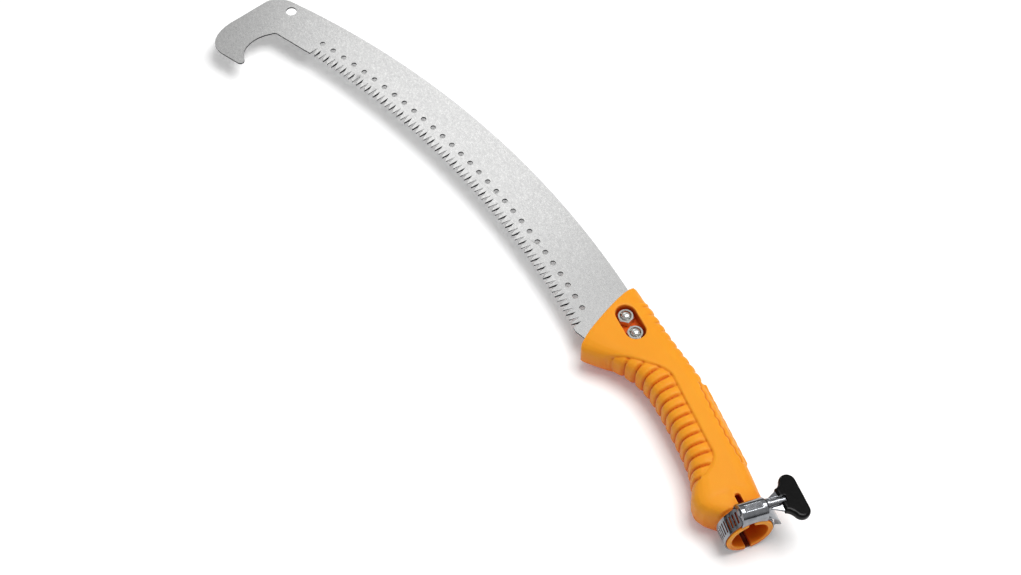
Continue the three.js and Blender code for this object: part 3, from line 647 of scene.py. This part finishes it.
# %% Rolled shapes, hexagons and threads
def rolled(profile_at, steps=72):
    """A closed shape round the Z axis, from a function of angle to (radius, height) points."""
    rows = len(profile_at(0))
    bm = bmesh.new()
    bmesh.ops.create_grid(bm, x_segments=steps, y_segments=rows - 1, size=0.5)
    for vert in bm.verts:
        angle = 2 * math.pi * (vert.co.x + 0.5)
        radius, height = profile_at(angle)[round((vert.co.y + 0.5) * (rows - 1))]
        vert.co = (radius * math.cos(angle), radius * math.sin(angle), height)
    bmesh.ops.remove_doubles(bm, verts=bm.verts, dist=0.0005)
    bmesh.ops.recalc_face_normals(bm, faces=bm.faces)
    return bm


ACROSS_FLATS = 10
CHAMFER_START = ACROSS_FLATS / 2 - 0.1
CHAMFER_SLOPE = math.tan(math.radians(30))


def hexagon_radius(angle):
    """How far a hexagon's side is from its middle at this angle."""
    return ACROSS_FLATS / 2 / math.cos(angle % (math.pi / 3) - math.pi / 6)


def thread_radius(angle, height, pitch, root, crest):
    """A thread's radius: from root to crest and back once for each pitch climbed."""
    phase = (height / pitch - angle / (2 * math.pi)) % 1
    return root + (crest - root) * min(1.6 * (1 - abs(2 * phase - 1)), 1)


BOLT_RADIUS = 3.0
POCKET_FLOOR = 4.45
NUT_HEIGHT = 5.0
HEAD_HEIGHT = 4.0
THREAD_DEPTH = 0.5
THREAD_PITCH = 1.0
BORE_RADIUS = BOLT_RADIUS + 0.25
BOLT_END = POCKET_FLOOR + NUT_HEIGHT + 1.7
BOLT_PLACES = {"rear": (155.9, 8.9), "front": (169.8, 9.7)}


def nut_profile(angle):
    """A nut's section, from its bore round its outside and back through the bore."""
    radius = hexagon_radius(angle)
    chamfer = (radius - CHAMFER_START) * CHAMFER_SLOPE
    return [(BORE_RADIUS + 0.6, 0), (CHAMFER_START, 0), (radius, chamfer),
            (radius, NUT_HEIGHT - chamfer), (CHAMFER_START, NUT_HEIGHT),
            (BORE_RADIUS + 0.6, NUT_HEIGHT), (BORE_RADIUS, NUT_HEIGHT - 0.6), (BORE_RADIUS, 0.6),
            (BORE_RADIUS + 0.6, 0)]


def bolt_profile(angle):
    """A bolt's section, from the middle of its head up to the middle of its end."""
    radius = hexagon_radius(angle)
    chamfer = (radius - CHAMFER_START) * CHAMFER_SLOPE
    underside = -POCKET_FLOOR - HEAD_HEIGHT
    head = [(0, underside), (CHAMFER_START, underside), (radius, underside + chamfer),
            (radius, -POCKET_FLOOR), (BOLT_RADIUS, -POCKET_FLOOR)]
    root = BOLT_RADIUS - THREAD_DEPTH
    shank = [(thread_radius(angle, height, THREAD_PITCH, root, BOLT_RADIUS), height)
             for height in np.arange(0.3 - POCKET_FLOOR, BOLT_END - 0.9, THREAD_PITCH / 8)]
    return head + shank + [(BOLT_RADIUS - 0.7, BOLT_END - 0.4), (BOLT_RADIUS - 1.6, BOLT_END),
                           (0, BOLT_END)]


for name, (x, y) in BOLT_PLACES.items():
    spot = Matrix.Translation((x, y, 0))
    twist = Matrix.Rotation(math.radians(8 if name == "rear" else -5), 4, "Z")
    finish_piece(rolled(nut_profile), f"nut_{name}", "head",
                 [f"blade_nut_{name}"], zinc_finish, 25,
                 spot @ Matrix.Translation((0, 0, POCKET_FLOOR)) @ twist)
    finish_piece(rolled(bolt_profile), f"bolt_{name}", "head",
                 [f"blade_bolt_{name}"], zinc_finish, 25, spot)

# %% [markdown]
# ## Band clamp
# The clamp is drawn on its own axes, X along the socket, Z out through the screw and the screw
# along -Y. Its band is thin strip, with slanted slots punched for the screw's thread and a free
# tail that is cut to a point and springs away. The band starts as a flat grid, one row of which
# has the slots left out of it, is rolled round the socket by moving its points, and is given its
# thickness by Solidify.

# %% Band
BAND_RADIUS = 16.15
UPPER_BAND_RADIUS = 17.15
HOUSING_LENGTH = 17.5
HOUSING_ANGLE = math.degrees(math.asin(HOUSING_LENGTH / 2 / UPPER_BAND_RADIUS))
BAND_START = -HOUSING_ANGLE + 8
BAND_LAP = 360 - HOUSING_ANGLE
TAIL_START = 360 + HOUSING_ANGLE
TAIL_SWEEP = 80
TAIL_POINT = 24
TAIL_LIFT = 7.2
STEP_ANGLE = 14
SLOT_PITCH = math.degrees(2.5 / UPPER_BAND_RADIUS)
SLOT_HALF = math.degrees(0.55 / UPPER_BAND_RADIUS)
SLOT_COUNT = 22
SLOT_REACH = 3.8
SLOT_SLANT = 3.3 * math.tan(math.radians(6))
BAND_HALF = 6
BAND_THICKNESS = 0.7


def band_radius(angle):
    """The band's radius, which climbs over its own start and springs out along the tail."""
    climb = min(max((angle - BAND_LAP + STEP_ANGLE) / STEP_ANGLE, 0), 1)
    spring = max((angle - TAIL_START) / TAIL_SWEEP, 0)
    return BAND_RADIUS + (UPPER_BAND_RADIUS - BAND_RADIUS) * climb + TAIL_LIFT * spring ** 1.4


slots = [TAIL_START - 4 - number * SLOT_PITCH for number in range(SLOT_COUNT)][::-1]
stations = list(np.arange(BAND_START, slots[0] - 3, 3.0))
for slot_angle in slots:
    stations += [slot_angle - SLOT_HALF, slot_angle + SLOT_HALF, slot_angle + SLOT_PITCH / 2]
stations += list(np.linspace(stations[-1], TAIL_START + TAIL_SWEEP, 30)[1:])
rows = [-BAND_HALF, -SLOT_REACH, SLOT_REACH, BAND_HALF]
bm = bmesh.new()
bmesh.ops.create_grid(bm, x_segments=len(stations) - 1, y_segments=len(rows) - 1, size=0.5)
column_of = {}
for vert in bm.verts:
    column = round((vert.co.x + 0.5) * (len(stations) - 1))
    row = round((vert.co.y + 0.5) * (len(rows) - 1))
    column_of[vert] = (column, row)
slot_starts = {min(range(len(stations)), key=lambda i: abs(stations[i] - (s - SLOT_HALF)))
               for s in slots}
cut = [face for face in bm.faces
       if sorted({column_of[v][1] for v in face.verts}) == [1, 2]
       and min(column_of[v][0] for v in face.verts) in slot_starts]
for vert in bm.verts:
    column, row = column_of[vert]
    across = rows[row]
    angle = stations[column] + across * SLOT_SLANT
    point_share = max((stations[column] - TAIL_START - TAIL_SWEEP + TAIL_POINT) / TAIL_POINT, 0)
    across *= max(1 - point_share, 0.03) ** 0.8
    radius = band_radius(angle)
    turn = math.radians(angle)
    vert.co = (across, -radius * math.sin(turn), radius * math.cos(turn))
bmesh.ops.delete(bm, geom=cut, context="FACES")
band = finish_piece(bm, "band", "clamp", ["clamp_band"], strip_finish, 60, CLAMP)
solidify = band.modifiers.new("thickness", "SOLIDIFY")
solidify.thickness = BAND_THICKNESS * MILLIMETRE
solidify.offset = 0
edge_break = band.modifiers.new("edge_break", "BEVEL")
edge_break.width = 0.12 * MILLIMETRE
edge_break.segments = 2
edge_break.limit_method = "ANGLE"
edge_break.angle_limit = math.radians(50)
print("slots cut:", len(cut))

# %% [markdown]
# The housing is pressed from sheet and has soft corners everywhere, so it is voxelled and
# smoothed like the handle, on a much finer grid. The thumb turn is moulded and made the same way.

# %% Housing and thumb turn
bm = working_copy("clamp_housing")
bm = modified(bm, "REMESH", mode="VOXEL", voxel_size=0.16, use_smooth_shade=True)
smoothed(bm, 4)
finish_piece(bm, "housing", "clamp", ["clamp_housing"], strip_finish, 180)

bm = working_copy("thumb_turn")
bm = modified(bm, "REMESH", mode="VOXEL", voxel_size=0.22, use_smooth_shade=True)
smoothed(bm, 6)
finish_piece(bm, "turn", "worm", ["thumb_turn"], black_finish, 180)

# %% [markdown]
# The screw is turned: a shaft held in the ends of the housing, a collar outside it and a shank
# that carries the key. Its worm has a coarser, squarer thread that runs out at both ends.

# %% Worm screw
WORM_RADIUS = 2.5
CORE_RADIUS = 1.9
WORM_PITCH = 2.5
WORM_HALF = 6.5
COLLAR_RADIUS = 4.0
SHANK_RADIUS = 3.0
half = HOUSING_LENGTH / 2


def screw_profile(angle):
    """The screw's section, from the far end of its shaft to the end of its shank."""
    worm = []
    for height in np.arange(-WORM_HALF, WORM_HALF + 0.1, 0.2):
        crest = CORE_RADIUS + (WORM_RADIUS - CORE_RADIUS) * min(WORM_HALF - abs(height), 1)
        worm.append((thread_radius(angle, height, WORM_PITCH, CORE_RADIUS, crest), height))
    return ([(0, -half - 0.8), (CORE_RADIUS - 0.3, -half - 0.8), (CORE_RADIUS, -half - 0.5)]
            + worm
            + [(CORE_RADIUS, half + 0.3), (COLLAR_RADIUS - 0.3, half + 0.3),
               (COLLAR_RADIUS, half + 0.6), (COLLAR_RADIUS, half + 2.0),
               (COLLAR_RADIUS - 0.3, half + 2.3), (SHANK_RADIUS, half + 2.5),
               (SHANK_RADIUS, 18.2), (2.4, 18.6), (2.4, 21.6), (0, 21.7)])


along_screw = (CLAMP @ Matrix.Translation((0, 0, screw_height))
               @ Matrix.Rotation(math.radians(90), 4, "X"))
finish_piece(rolled(screw_profile), "screw", "worm", ["worm_screw"],
             strip_finish, 35, along_screw)

# %% [markdown]
# The key is a flat stamping riveted over the shank; its shoulders stand out between the collar
# and the thumb turn. Its copy only needs its edges broken.

# %% Key
bm = working_copy("screw_key")
bmesh.ops.dissolve_limit(bm, angle_limit=math.radians(1), verts=bm.verts, edges=bm.edges)
sharp = [edge for edge in bm.edges if edge.calc_face_angle(0) > math.radians(40)]
bevelled(bm, sharp, 0.2, segments=2)
finish_piece(bm, "key_plate", "worm", ["screw_key"], strip_finish, 35)
